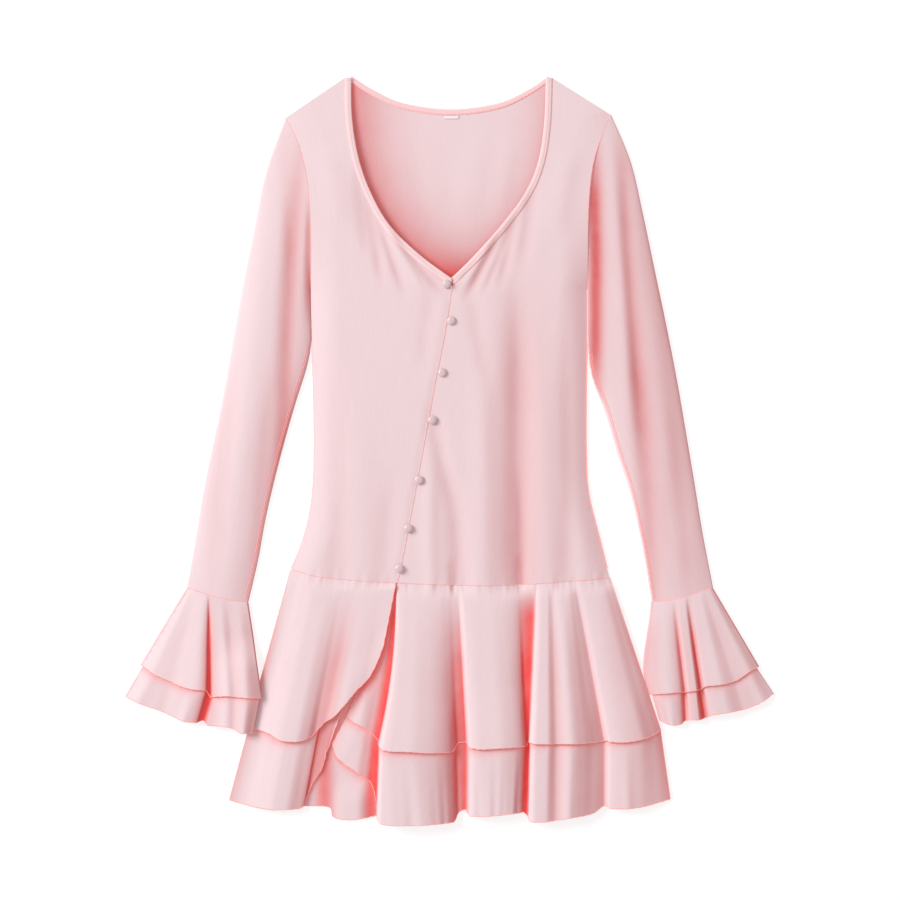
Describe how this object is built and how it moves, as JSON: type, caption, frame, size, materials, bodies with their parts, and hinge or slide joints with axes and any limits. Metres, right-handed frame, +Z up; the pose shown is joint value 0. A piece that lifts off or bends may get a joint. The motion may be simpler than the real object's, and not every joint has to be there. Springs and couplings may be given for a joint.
{
  "type": "knit dress laid flat",
  "caption": "Long-sleeved knit mini dress laid flat, face up, with a V neck, a diagonal buttoned wrap front, tiered flounce cuffs and a tiered flounce skirt with a curved slit.",
  "frame": {"origin": "middle of the flat garment's footprint, on the surface it lies on", "axes": "+Y towards the neck, +Z up out of the front, +X towards the wearer's left side"},
  "size_m": [0.7272, 0.8374, 0.0226],
  "materials": {
    "knit": "fine pale pink jersey knit, soft and matt with a slight sheen",
    "binding": "the same jersey folded into a narrow stitched band",
    "button": "domed buttons covered in greyish pink cloth",
    "label": "white woven tape, blank"
  },
  "bodies": {
    "root": {"back_bodice": "knit", "front_bodice_right": "knit", "front_bodice_left": "knit", "neck_binding_front_right": "binding", "neck_binding_front_left": "binding", "neck_binding_back": "binding", "neck_label": "label", "button_1": "button", "button_2": "button", "button_3": "button", "button_4": "button", "button_5": "button", "button_6": "button", "button_7": "button", "sleeve_right": "knit", "sleeve_left": "knit", "cuff_upper_right": "knit", "cuff_lower_right": "knit", "cuff_upper_left": "knit", "cuff_lower_left": "knit", "skirt_back_upper": "knit", "skirt_back_lower": "knit", "skirt_front_right_upper": "knit", "skirt_front_right_lower": "knit", "skirt_front_left_upper": "knit", "skirt_front_left_lower": "knit"}
  },
  "joints": []
}
